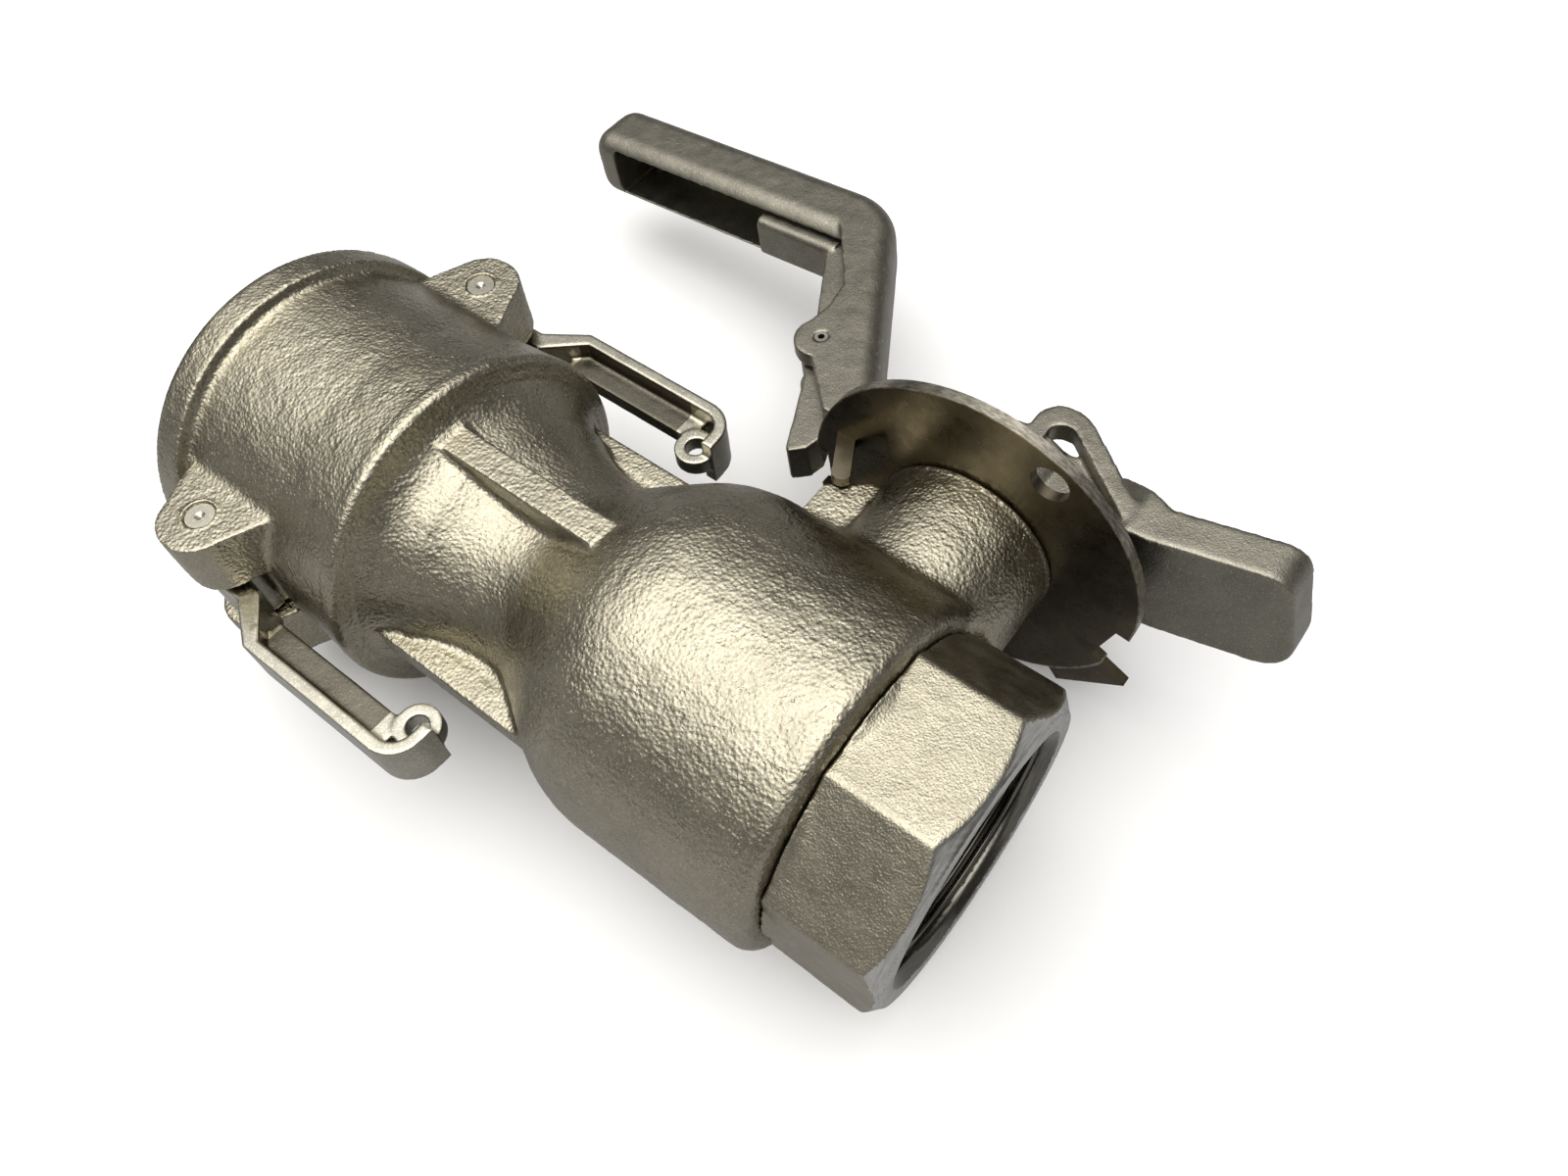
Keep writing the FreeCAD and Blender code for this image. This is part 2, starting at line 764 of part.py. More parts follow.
# ---------------------------------------------------------------- locking plate
def make_locking_plate():
    """The notched plate: two latch notches, a third notch, a broad tab and hooks."""
    body = new_body("locking_plate")
    low = -D.boss_top
    disc = circles(body, "XZ_Plane", [(0, 0, D.plate_radius)], low)
    pad(body, disc, D.plate_thickness, backwards=True)
    first = 180 + D.lever_droop
    for middle in (first, first + 90, Size.of(-16)):
        cut_notch(body, middle, low)
    add_stop_tab(body, low)
    add_hooks(body)
    hole_x, hole_z = turned(D.plate_hole_circle, D.plate_hole_angle)
    holes = circles(body, "XZ_Plane", [
        (hole_x, hole_z, D.plate_hole_radius), (0, 0, D.gland_thread)], low)
    pocket(body, holes, D.plate_thickness)
    return body


def cut_notch(body, middle, low):
    """One rim notch with straight flanks, centred on an angle from +X."""
    corners = []
    for radius, side in ((D.notch_floor, -1), (D.plate_radius + 8, -1),
                         (D.plate_radius + 8, 1), (D.notch_floor, 1)):
        corners.append(turned(radius, middle + side * D.notch_half_angle))
    pocket(body, outline(body, "XZ_Plane", corners, low), D.plate_thickness)


def add_stop_tab(body, low):
    """The broad tab that stands out of the rim."""
    corners = []
    for radius, side in ((D.notch_floor, -1), (D.stop_radius - 3, -1),
                         (D.stop_radius + 1, 1), (D.notch_floor, 1)):
        corners.append(turned(radius, side * D.stop_half_angle - D.stop_angle))
    pad(body, outline(body, "XZ_Plane", corners, low), D.plate_thickness, backwards=True)


def add_hooks(body):
    """Two bent hooks that straddle the lug and keep the plate from turning."""
    start = D.lug_half_width + D.hook_gap
    root = D.hook_root
    tip = D.hook_tip
    depth = D.hook_depth
    low = D.hook_end
    hook = [
        (-root - depth, D.boss_top + 1),
        (-tip - depth, low + depth / 2),
        (-tip, low + depth / 2, depth / 2 + 0.01),
        (-root, D.boss_top + 1),
    ]
    bent = pad(body, outline(body, "XY_Plane", hook, start), D.hook_width)
    mirrored(body, bent, "XY_Plane")


# ---------------------------------------------------- cam arms and their pins
def make_cam_pin(label, side):
    """A plain pin through one ear, dimpled at both ends."""
    body = new_body(label)
    end = D.ear_height - D.pin_recess
    pin = [
        (0, 0.8 - end), (D.pin_radius / 3, -end), (D.pin_radius - 0.4, -end),
        (D.pin_radius, 0.4 - end), (D.pin_radius, end - 0.4),
        (D.pin_radius - 0.4, end), (D.pin_radius / 3, end), (0, end - 0.8),
    ]
    turn(body, "Revolution", outline(body, "XZ_Plane", pin), "V_Axis")
    place(body, -D.pin_x, side * D.pin_y)


def make_cam_arm(label, side):
    """One cam arm: eccentric cam on the pin, tee-shaped arm, curled eyed end."""
    body = new_body(label)

    def on_side(points):
        return [(p[0], side * Size.of(p[1])) + tuple(side * q for q in p[2:]) for p in points]

    for y in (D.pin_y - D.cam_offset, D.pin_y):
        hub = circles(body, "XY_Plane", [(-D.pin_x, side * y, D.cam_radius)])
        pad(body, hub, D.cam_half_height, both=True)
    inner_y = D.arm_outer_y - D.arm_strip
    inner_tip = D.arm_tip_x + D.arm_strip
    curl = D.arm_curl
    inner_curl = curl - D.arm_strip
    strip = [
        (-D.pin_x + 2, D.pin_y + 2),
        (-D.arm_bend_x - 11, D.pin_y + 2.6),
        (-D.arm_bend_x, inner_y),
        (-inner_tip - inner_curl, inner_y),
        (-inner_tip, inner_y - inner_curl, -inner_curl - 0.01),
        (-inner_tip, D.eye_y - 1),
        (-D.arm_tip_x, D.eye_y - 1),
        (-D.arm_tip_x, D.arm_outer_y - curl),
        (-D.arm_tip_x - curl, D.arm_outer_y, curl + 0.01),
        (-D.arm_bend_x - 2, D.arm_outer_y),
        (-D.arm_bend_x - 14, D.pin_y + 7.6),
        (-D.pin_x + 2, D.pin_y + 7.6),
    ]
    pad(body, outline(body, "XY_Plane", on_side(strip)), D.arm_half_height, both=True)
    web = rectangle(-D.arm_bend_x - 4, inner_y - D.arm_web_depth, -D.eye_x - 3, inner_y + 1)
    pad(body, outline(body, "XY_Plane", on_side(web)), D.arm_web_width / 2, both=True)
    eye = circles(body, "XY_Plane", [(-D.eye_x, side * D.eye_y, D.eye_radius)])
    pad(body, eye, D.eye_width / 2, both=True)
    holes = circles(body, "XY_Plane", [(-D.eye_x, side * D.eye_y, D.eye_hole)])
    pocket(body, holes, D.arm_half_height + 1, both=True)
    bore = circles(body, "XY_Plane", [(-D.pin_x, side * D.pin_y, D.pin_radius + D.stem_gap)])
    pocket(body, bore, D.cam_half_height + 1, both=True)


# ------------------------------------------------------------------------ lever
ARM_ANGLE = math.radians(59)
ARM_SLOPE = math.tan(ARM_ANGLE)


def beside(radius, height, *bend):
    """A point of the lever's side view: distance from the stem axis, then y."""
    return (-Size.of(radius), height) + bend


def arm_back(height, inset=0.0):
    """Distance from the stem axis of the arm's outer face, less a wall, at a height."""
    shift = inset / math.sin(ARM_ANGLE)
    return D.bend_x - (D.grip_outer_y - height) / ARM_SLOPE + shift


def make_handle():
    """The cast lever: arm, channelled grip, pivot ears, hub, paddle and loop."""
    body = new_body("handle")
    arm = pad(body, outline(body, "XY_Plane", lever_side()), D.lever_half_width, both=True)
    round_edges(body, arm, D.lever_round, is_outer_edge)
    add_paddle(body)
    hub = circles(body, "XZ_Plane", [(0, 0, D.hub_radius)], -D.base_y)
    pad(body, hub, D.hub_top - D.base_y, backwards=True)
    wide = D.hub_radius - 0.5
    narrow = D.lever_half_width
    base = [(0, -wide), (0, wide), (-D.base_end, narrow), (-D.base_end, -narrow)]
    base_sketch = outline(body, "XZ_Plane", base, -D.base_y)
    pad(body, base_sketch, D.base_top - D.base_y, backwards=True)
    add_loop(body)
    cut_channels(body)
    cut_handle_holes(body)
    lean(body)


def lever_side():
    """Side view of the arm, the grip and the pivot ears."""
    end = D.grip_end
    corner = D.grip_corner
    ear_top = turned(D.latch_ear, 150)
    ear_foot = turned(D.latch_ear, 285)
    bend_run = D.bend_corner * math.tan(ARM_ANGLE / 2)
    bend_y = D.grip_outer_y - bend_run * math.sin(ARM_ANGLE)
    return [
        (-D.latch_x + ear_foot[0], D.latch_y + ear_foot[1], D.latch_ear),
        beside(D.base_end + 9, D.base_y),
        beside(D.base_end - 4, D.base_y),
        beside(arm_back(D.base_top), D.base_top),
        beside(arm_back(bend_y), bend_y),
        beside(D.bend_x + bend_run, D.grip_outer_y, D.bend_corner),
        beside(end - corner, D.grip_outer_y),
        beside(end, D.grip_outer_y - corner, corner),
        beside(end, D.grip_inner_y + corner),
        beside(end - corner, D.grip_inner_y, corner),
        beside(D.bend_x + 5, D.grip_inner_y),
        beside(D.bend_x - 8.3, D.grip_inner_y - 16.7),
        beside(D.latch_x + 6.1, D.latch_y + 11.8),
        (-D.latch_x + ear_top[0], D.latch_y + ear_top[1]),
    ]


def is_outer_edge(edge, middle):
    """True for the long outer edges of the arm and the grip."""
    if abs(abs(middle.z) - D.lever_half_width.value) > 0.01:
        return False
    if middle.y < D.base_top.value + 1:
        return False
    radius = -middle.x
    on_arm = radius < arm_back(Size.of(middle.y)).value + 2.5
    on_grip = middle.y > D.grip_outer_y.value - D.grip_corner.value
    return on_arm or on_grip


def add_paddle(body):
    """The flat thumb paddle opposite the grip, rising away from the plate."""
    length = D.paddle_length
    root = D.paddle_root_y
    rise = D.paddle_rise
    side = [
        (0, D.base_y),
        (length / 2, root),
        (length, root + rise),
        (length, root + rise + D.paddle_thickness),
        (length / 2 + 2, root + D.paddle_thickness),
        (D.neck_end + 2, D.hub_top + 0.5),
        (0, D.hub_top + 0.5),
    ]
    pad(body, outline(body, "XY_Plane", side), D.paddle_half_width, both=True)
    beyond = D.paddle_half_width + 1
    top = -D.hub_top - 8
    slant = [
        (length - D.paddle_slant, beyond),
        (length, -beyond),
        (length + 1, -beyond),
        (length + 1, beyond),
    ]
    block = pocket(body, outline(body, "XZ_Plane", slant, top), D.hub_top - D.base_y + 9,
                   backwards=True)

    def is_end_corner(edge, middle):
        upright = abs(edge.BoundBox.XLength) < 0.01 and abs(edge.BoundBox.ZLength) < 0.01
        return upright and middle.x > length.value - D.paddle_slant.value - 1

    round_edges(body, block, D.paddle_corner, is_end_corner)
    waist = [
        (-1, D.neck_half_width),
        (D.neck_end, D.neck_half_width),
        (D.neck_flare_end, beyond),
        (-1, beyond),
    ]
    cut = pocket(body, outline(body, "XZ_Plane", waist, top), D.hub_top - D.base_y + 9,
                 backwards=True)
    mirrored(body, cut, "XY_Plane")


def add_loop(body):
    """The guard loop: a round eye on the hub's side and a leg down to the paddle."""
    left = D.loop_left
    top = D.loop_top
    bend = D.loop_bend
    fall = math.tan(math.radians(D.loop_slope.value))
    across, along = turned(bend, 90 - D.loop_slope)
    start_x = left + D.loop_round + across
    start_y = top - bend + along
    band_down = D.loop_band / math.cos(math.radians(D.loop_slope.value))
    foot = D.neck_flare_end

    def leg_y(x):
        return start_y - (x - start_x) * fall

    inner_x = start_x - D.loop_band * 0.5
    inside = left + D.loop_band
    loop = [
        (left, D.base_top),
        (left, top - D.loop_round),
        (left + D.loop_round, top, -D.loop_round - 0.01),
        (start_x, start_y, -bend - 0.01),
        (foot, leg_y(foot)),
        (foot, leg_y(foot - 4) - band_down),
        (foot - 4, leg_y(foot - 4) - band_down),
        (inner_x, leg_y(inner_x) - band_down),
        (inside, top - D.loop_round - 2, D.loop_round * 0.57),
        (inside, D.base_top),
    ]
    low = D.paddle_half_width - 0.3 - D.loop_width
    pad(body, outline(body, "XY_Plane", loop, low), D.loop_width)


def cut_channels(body):
    """The deep channel of the grip and the slot the latch swings in."""
    low = D.grip_inner_y - 9
    roof = D.grip_outer_y - D.grip_roof
    channel = [
        beside(D.bend_x, low),
        beside(D.bend_x, roof - 9.5),
        beside(D.bend_x + 8, roof),
        beside(D.channel_end, roof),
        beside(D.channel_end, low),
    ]
    wall = D.lever_half_width - D.grip_wall
    pocket(body, outline(body, "XY_Plane", channel), wall, both=True)
    slot_top = roof - 5.5
    slot_foot = D.base_y + 9.7
    slot = [
        beside(arm_back(slot_foot, 5.0), D.base_y - 4),
        beside(arm_back(slot_foot, 5.0), slot_foot),
        beside(arm_back(slot_top, 5.0), slot_top),
        beside(D.bend_x + 12, slot_top),
        beside(D.bend_x + 12, D.base_y - 4),
    ]
    wall = D.latch_half_width + D.latch_gap
    pocket(body, outline(body, "XY_Plane", slot), wall, both=True)


def cut_handle_holes(body):
    """Square bore for the stem and the cross holes for the two roll pins."""
    side = D.stem_square / 2 + D.stem_gap
    bore = outline(body, "XZ_Plane", rectangle(-side, -side, side, side), 1 - D.base_y)
    pocket(body, bore, D.stem_top - D.base_y + 1.2)
    pins = circles(body, "XY_Plane", [
        (0, D.handle_pin_y, D.handle_pin_radius),
        (-D.latch_x, D.latch_y, D.latch_pin_radius)])
    pocket(body, pins, D.hub_radius + 1, both=True)


def make_roll_pin(label, centre, radius, bore, half_length):
    """A hollow spring pin across the lever."""
    body = new_body(label)
    outside = circles(body, "XY_Plane", [(*centre, radius)])
    pad(body, outside, half_length, both=True)
    inside = circles(body, "XY_Plane", [(*centre, bore)])
    pocket(body, inside, half_length + 1, both=True)
    lean(body)


def make_latch():
    """The trigger latch: finger tab, shank, pivot boss and hooked nose."""
    body = new_body("latch")
    boss = D.latch_boss
    boss_start = turned(boss, 151)
    boss_end = turned(boss, 240)
    tab_low = D.tab_y
    tab_high = D.tab_y + D.tab_thickness
    x = D.latch_x
    y = D.latch_y
    side = [
        beside(D.tab_end, tab_low),
        beside(x + 25.2, tab_low),
        (-x + boss_start[0], y + boss_start[1]),
        (-x + boss_end[0], y + boss_end[1], boss),
        beside(x - 0.8, y - 9.9),
        beside(x - 8.3, y - 24.7),
        beside(x - 13.2, y - 34.8),
        beside(x - 14.6, y - 35.6),
        beside(x - 18.4, y - 32.0),
        beside(x - 19.5, y - 27.4),
        beside(x - 14.8, y - 16.2),
        beside(x - 6.8, y - 4.7),
        beside(x - 6.4, y + 1.8),
        beside(x - 1.8, y + 5.6),
        beside(x + 19.2, tab_high),
        beside(D.tab_end, tab_high),
    ]
    pad(body, outline(body, "XY_Plane", side), D.latch_half_width, both=True)
    tab = rectangle(-D.tab_end, tab_low, 1 - x - 24.2, tab_high)
    block = pad(body, outline(body, "XY_Plane", tab), D.tab_half_width, both=True)

    def is_finger_edge(edge, middle):
        along = abs(edge.BoundBox.XLength) > 2 and abs(edge.BoundBox.YLength) < 0.01
        on_side = abs(abs(middle.z) - D.tab_half_width.value) < 0.01
        return along and on_side and abs(middle.y - tab_low.value) < 0.01

    round_edges(body, block, D.tab_round, is_finger_edge)
    hole = circles(body, "XY_Plane", [(-x, y, D.latch_pin_radius + D.stem_gap)])
    pocket(body, hole, D.latch_half_width + 1, both=True)
    recess = circles(body, "XY_Plane", [(-x, y, boss + 0.7)], D.latch_half_width)
    pocket(body, recess, D.spring_recess)
    lean(body)


def make_latch_spring():
    """Torsion spring beside the latch: two joined turns and two straight legs."""
    body = new_body("latch_spring")
    wire = D.spring_wire
    coil = D.spring_radius
    top = D.latch_half_width + D.latch_gap - 1.3 * wire
    pitch = 1.5 * wire
    foot = top - pitch
    leg_wire = 0.88 * wire
    for height in (foot, top):
        ring = circles(body, "XZ_Plane", [(coil, height, wire)])
        turn(body, "Revolution", ring, "V_Axis")
    pad(body, circles(body, "YZ_Plane", [(-coil, top, leg_wire)]), D.spring_leg)
    pad(body, circles(body, "XZ_Plane", [(coil, foot, leg_wire)]), coil)
    on_lever_x, on_lever_z = turned(D.latch_x, 180 + D.lever_droop)
    place(body, on_lever_x, D.latch_y, on_lever_z, D.lever_droop.value, D.spring_turn.value)



# ------------------------------------------------------------ check and export
def build():
    make_valve_body()
    make_end_connector()
    make_ball()
    make_seats()
    make_flow_seals()
    make_stem()
    make_stem_seals()
    make_gland_nut()
    make_locking_plate()
    for label, side in (("left", -1), ("right", 1)):
        make_cam_pin("cam_pin_" + label, side)
        make_cam_arm("cam_arm_" + label, side)
    make_handle()
    make_latch()
    make_latch_spring()
    make_roll_pin("handle_pin", (0, D.handle_pin_y), D.handle_pin_radius,
                  D.handle_pin_radius / 2, D.hub_radius - 0.2)
    make_roll_pin("latch_pin", (-D.latch_x, D.latch_y), D.latch_pin_radius,
                  D.latch_pin_bore, D.lever_half_width - 0.2)


def problems():
    """Objects that failed to build, and sub-parts with no valid solid."""
    found = ["%s: %s" % (item.Name, item.State) for item in doc.Objects
             if "Invalid" in item.State or "Error" in item.State]
    for part in SUB_PARTS:
        if part.Shape.isNull() or not part.Shape.isValid() or not part.Shape.Solids:
            found.append("%s: no valid solid" % part.Label)
    return found


build()
doc.recompute()
faults = problems()
if faults:
    raise RuntimeError("the model did not build: " + "; ".join(faults))
os.makedirs("parts", exist_ok=True)
for part in SUB_PARTS:
    part.Shape.exportStep(os.path.join("parts", part.Label + ".step"))
    box = part.Shape.BoundBox
    print("%-16s %2d solid(s) %9.0f mm3  x %.1f %.1f  y %.1f %.1f  z %.1f %.1f" % (
        part.Label, len(part.Shape.Solids), part.Shape.Volume,
        box.XMin, box.XMax, box.YMin, box.YMax, box.ZMin, box.ZMax))
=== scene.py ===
"""Looks of the ball valve: cast steel pieces, procedural materials, studio, camera."""

import json
import math

import bpy
import numpy as np
from mathutils import Matrix, Vector


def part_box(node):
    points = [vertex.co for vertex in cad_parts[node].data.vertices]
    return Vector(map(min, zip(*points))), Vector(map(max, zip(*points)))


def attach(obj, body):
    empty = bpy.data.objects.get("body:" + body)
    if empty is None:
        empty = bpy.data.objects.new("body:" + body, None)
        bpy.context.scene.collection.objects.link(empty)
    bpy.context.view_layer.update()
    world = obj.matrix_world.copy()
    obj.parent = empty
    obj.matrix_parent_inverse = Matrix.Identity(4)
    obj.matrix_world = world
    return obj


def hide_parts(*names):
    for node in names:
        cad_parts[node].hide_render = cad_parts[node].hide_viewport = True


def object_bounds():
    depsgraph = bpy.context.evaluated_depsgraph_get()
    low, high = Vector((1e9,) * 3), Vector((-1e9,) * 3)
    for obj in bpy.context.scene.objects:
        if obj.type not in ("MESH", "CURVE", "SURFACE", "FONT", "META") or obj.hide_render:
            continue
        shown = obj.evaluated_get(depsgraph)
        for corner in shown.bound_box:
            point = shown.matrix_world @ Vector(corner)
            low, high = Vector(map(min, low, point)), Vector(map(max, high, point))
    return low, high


MM = 0.001

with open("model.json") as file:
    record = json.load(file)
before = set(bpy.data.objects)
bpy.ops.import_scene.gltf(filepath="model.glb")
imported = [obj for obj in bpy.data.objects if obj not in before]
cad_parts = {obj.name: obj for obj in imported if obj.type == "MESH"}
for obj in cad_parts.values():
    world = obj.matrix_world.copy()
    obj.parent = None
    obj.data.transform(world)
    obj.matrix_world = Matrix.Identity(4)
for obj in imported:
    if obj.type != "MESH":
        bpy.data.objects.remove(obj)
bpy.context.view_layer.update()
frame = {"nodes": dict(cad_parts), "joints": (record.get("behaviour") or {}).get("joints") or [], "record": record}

JOINTS = {joint["name"]: joint for joint in frame["joints"]}
BALL = Vector(JOINTS["lever_turn"]["pos_m"])
THREAD = next(m for m in frame["record"]["mounts"] if m["name"] == "threaded_end")
PIN = JOINTS["right_cam_swing"]["pos_m"]

# Places on the valve, from the ball's middle: x along the flow, y up the stem.
RIM_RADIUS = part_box("locking_plate")[1][2]
END_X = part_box("end_connector")[1][0] - BALL.x
MOUTH_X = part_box("valve_body")[0][0] - BALL.x
CUP_BACK_X = -104 * MM
PIN_X = PIN[0] - BALL.x
SOCKET_RADIUS = 39.6 * MM
END_RADIUS = 36.8 * MM
CONE_SLOPE = 1.19


# ------------------------------------------------------------------ node helpers
class Nodes:
    """A material's node tree with short calls for the nodes this scene uses."""

    def __init__(self, name):
        self.material = bpy.data.materials.new(name)
        self.material.use_nodes = True
        self.tree = self.material.node_tree
        self.tree.nodes.clear()
        self.output = self.tree.nodes.new("ShaderNodeOutputMaterial")
        self.shader = self.tree.nodes.new("ShaderNodeBsdfPrincipled")
        self.link(self.shader.outputs[0], self.output.inputs[0])
        self.place = self.tree.nodes.new("ShaderNodeTexCoord").outputs["Object"]

    def link(self, source, target):
        self.tree.links.new(source, target)

    def set(self, name, value):
        """Give the shader's input a number, a colour or another node's output."""
        socket = self.shader.inputs[name]
        if isinstance(value, bpy.types.NodeSocket):
            self.link(value, socket)
        elif isinstance(value, tuple):
            socket.default_value = (*value, 1.0)
        else:
            socket.default_value = value

    def stretched(self, scale):
        """Object coordinates scaled by a different factor along each axis."""
        node = self.tree.nodes.new("ShaderNodeMapping")
        node.inputs["Scale"].default_value = scale
        self.link(self.place, node.inputs["Vector"])
        return node.outputs[0]

    def noise(self, size, detail=2.0, rough=0.5, place=None):
        """Noise whose features are about `size` metres across."""
        node = self.tree.nodes.new("ShaderNodeTexNoise")
        node.inputs["Scale"].default_value = 1.0 / size
        node.inputs["Detail"].default_value = detail
        node.inputs["Roughness"].default_value = rough
        self.link(place or self.place, node.inputs["Vector"])
        return node.outputs["Fac"]

    def cells(self, size, smooth=0.6):
        """Rounded cells about `size` metres across, high in their middles."""
        node = self.tree.nodes.new("ShaderNodeTexVoronoi")
        node.feature = "SMOOTH_F1"
        node.inputs["Scale"].default_value = 1.0 / size
        node.inputs["Smoothness"].default_value = smooth
        self.link(self.place, node.inputs["Vector"])
        return node.outputs["Distance"]

    def ramp(self, value, low, high, start=0.0, end=1.0):
        """Map value from low..high to start..end, clamped."""
        node = self.tree.nodes.new("ShaderNodeMapRange")
        for name, number in zip(("From Min", "From Max", "To Min", "To Max"),
                                (low, high, start, end)):
            node.inputs[name].default_value = number
        self.link(value, node.inputs["Value"])
        return node.outputs["Result"]

    def mix(self, share, first, second):
        """Blend two colours, each a tuple or an output, by a share."""
        node = self.tree.nodes.new("ShaderNodeMix")
        node.data_type = "RGBA"
        self.link(share, node.inputs["Factor"])
        for socket, value in zip((node.inputs[6], node.inputs[7]), (first, second)):
            if isinstance(value, tuple):
                socket.default_value = (*value, 1.0)
            else:
                self.link(value, socket)
        return node.outputs[2]

    def math(self, operation, first, second):
        """The result of one arithmetic step on two numbers or outputs."""
        node = self.tree.nodes.new("ShaderNodeMath")
        node.operation = operation
        for socket, value in zip(node.inputs, (first, second)):
            if isinstance(value, bpy.types.NodeSocket):
                self.link(value, socket)
            else:
                socket.default_value = value
        return node.outputs[0]

    def distance_from_stem(self):
        """Distance in metres from the stem's axis."""
        source = self.place
        for operation, value in (("SUBTRACT", BALL), ("MULTIPLY", (1.0, 0.0, 1.0))):
            node = self.tree.nodes.new("ShaderNodeVectorMath")
            node.operation = operation
            self.link(source, node.inputs[0])
            node.inputs[1].default_value = value
            source = node.outputs["Vector"]
        node = self.tree.nodes.new("ShaderNodeVectorMath")
        node.operation = "LENGTH"
        self.link(source, node.inputs[0])
        return node.outputs["Value"]

    def rough(self, size, detail, low, high):
        """Make the roughness wander between low and high in patches of `size`."""
        self.set("Roughness", self.ramp(self.noise(size, detail), 0.3, 0.7, low, high))

    def pointiness(self):
        """High on sharp edges, low in creases."""
        return self.tree.nodes.new("ShaderNodeNewGeometry").outputs["Pointiness"]

    def bump(self, height, depth, normal=None):
        """A bump of `depth` metres, on top of an earlier normal."""
        node = self.tree.nodes.new("ShaderNodeBump")
        node.inputs["Distance"].default_value = depth
        self.link(height, node.inputs["Height"])
        if normal is not None:
            self.link(normal, node.inputs["Normal"])
        return node.outputs["Normal"]


# --------------------------------------------------------------------- materials
def cast_steel(name, colour, rough, grain, grain_depth, pits=0.0, edge=0.0):
    """Blasted investment casting: warm grey metal, pebbled, brighter on its edges."""
    nodes = Nodes(name)
    dark = tuple(0.82 * c for c in colour)
    bright = tuple(min(1.0, 1.6 * c) for c in colour)
    blotch = nodes.ramp(nodes.noise(12 * MM, 5.0, 0.65), 0.35, 0.62)
    base = nodes.mix(blotch, dark, colour)
    fleck = nodes.ramp(nodes.noise(0.45 * MM, 2.0, 0.6), 0.53, 0.7, 0.0, 0.8)
    base = nodes.mix(fleck, base, bright)
    if edge:
        worn = nodes.ramp(nodes.pointiness(), 0.52, 0.58, 0.0, edge)
        base = nodes.mix(worn, base, bright)
    nodes.set("Base Color", base)
    nodes.set("Metallic", 1.0)
    nodes.rough(5 * MM, 3.0, rough - 0.05, rough + 0.07)
    normal = nodes.bump(nodes.noise(3.5 * grain, 2.0, 0.5), 1.2 * grain_depth)
    normal = nodes.bump(nodes.cells(grain), grain_depth, normal)
    normal = nodes.bump(nodes.noise(0.3 * grain, 2.0, 0.6), 0.35 * grain_depth, normal)
    if pits:
        pit = nodes.ramp(nodes.noise(1.1 * MM, 1.0), 0.25, 0.36)
        normal = nodes.bump(pit, pits, normal)
    nodes.set("Normal", normal)
    return nodes.material


def turned_steel(name, colour, rough, stretch, depth=0.015 * MM):
    """Machined metal with fine tool marks running across the stretched axes."""
    nodes = Nodes(name)
    streak = nodes.noise(1.0 * MM, 3.0, 0.6, nodes.stretched(stretch))
    dark = tuple(0.7 * c for c in colour)
    nodes.set("Base Color", nodes.mix(nodes.ramp(streak, 0.35, 0.65), dark, colour))
    nodes.set("Metallic", 1.0)
    nodes.rough(6 * MM, 4.0, rough - 0.06, rough + 0.1)
    nodes.set("Normal", nodes.bump(streak, depth))
    return nodes.material


def plate_steel():
    """Rolled sheet, bronze-brown with soft dark scuffs, bright on its cut rim."""
    nodes = Nodes("plate_steel")
    brown = (0.21, 0.18, 0.125)
    pale = (0.52, 0.49, 0.42)
    soot = (0.035, 0.03, 0.022)
    rim_half = 0.4 * MM
    cloud = nodes.ramp(nodes.noise(24 * MM, 4.0, 0.6), 0.3, 0.7)
    base = nodes.mix(cloud, tuple(0.55 * c for c in brown), brown)
    scuff = nodes.ramp(nodes.noise(14 * MM, 3.0, 0.5), 0.45, 0.75, 0.0, 0.6)
    base = nodes.mix(scuff, base, soot)
    reach = nodes.distance_from_stem()
    rim = nodes.math("MULTIPLY", nodes.math("GREATER_THAN", reach, RIM_RADIUS - rim_half),
                     nodes.math("LESS_THAN", reach, RIM_RADIUS + rim_half))
    scratch = nodes.noise(2.5 * MM, 4.0, 0.7, nodes.stretched((1.0, 4.0, 1.0)))
    worn = nodes.math("MULTIPLY", rim, nodes.ramp(scratch, 0.4, 0.6, 0.3, 1.0))
    base = nodes.mix(worn, base, pale)
    nodes.set("Base Color", base)
    nodes.set("Metallic", 1.0)
    nodes.rough(4 * MM, 4.0, 0.22, 0.38)
    normal = nodes.bump(nodes.noise(1.6 * MM, 3.0), 0.02 * MM)
    nodes.set("Normal", nodes.bump(nodes.noise(9 * MM, 2.0), 0.12 * MM, normal))
    return nodes.material


def soft_plastic(name, colour, rough, grain):
    """Turned fluoropolymer or moulded rubber: slight mottling and a fine grain."""
    nodes = Nodes(name)
    shade = nodes.ramp(nodes.noise(4 * MM, 4.0), 0.3, 0.7)
    nodes.set("Base Color", nodes.mix(shade, tuple(0.85 * c for c in colour), colour))
    nodes.rough(1.5 * MM, 3.0, rough - 0.08, rough + 0.08)
    nodes.set("Normal", nodes.bump(nodes.noise(grain, 3.0), 0.1 * grain))
    return nodes.material


